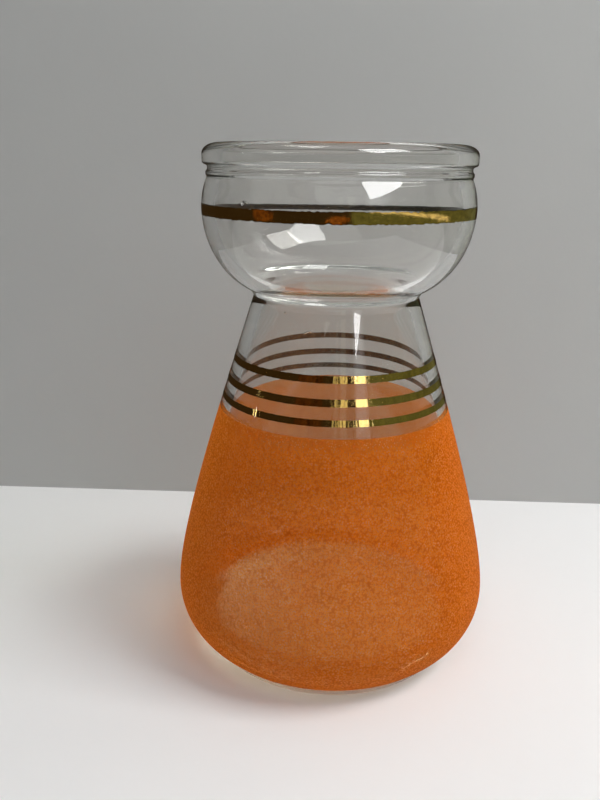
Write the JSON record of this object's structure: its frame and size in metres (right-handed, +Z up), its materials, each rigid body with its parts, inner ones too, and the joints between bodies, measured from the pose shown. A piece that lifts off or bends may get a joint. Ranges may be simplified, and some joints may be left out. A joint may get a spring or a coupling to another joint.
{
  "type": "hyacinth bulb vase",
  "caption": "Clear glass vase with a wide bulb cup over a narrow throat, a flared water body with an orange frosted coat, and gold bands round cup and neck.",
  "frame": {"origin": "on the vase's axis, at the level of the flat ring that it stands on", "axes": "+Z up along the vase's axis; the vase is round, so X and Y are any two directions across it"},
  "size_m": [0.0956, 0.0956, 0.15],
  "materials": {
    "clear_glass": "clear soda-lime glass, smooth, with a faint grey-green cast",
    "orange_frost": "baked orange enamel, translucent, with a fine sugar-like frost",
    "gold": "fired bright gold, mirror-like outside, matt brown where it is seen through the glass"
  },
  "bodies": {
    "root": {"glass_vase": "clear_glass", "orange_frost_coat": "orange_frost", "bowl_gold_band": "gold", "upper_neck_gold_band": "gold", "middle_neck_gold_band": "gold", "lower_neck_gold_band": "gold"}
  },
  "joints": []
}
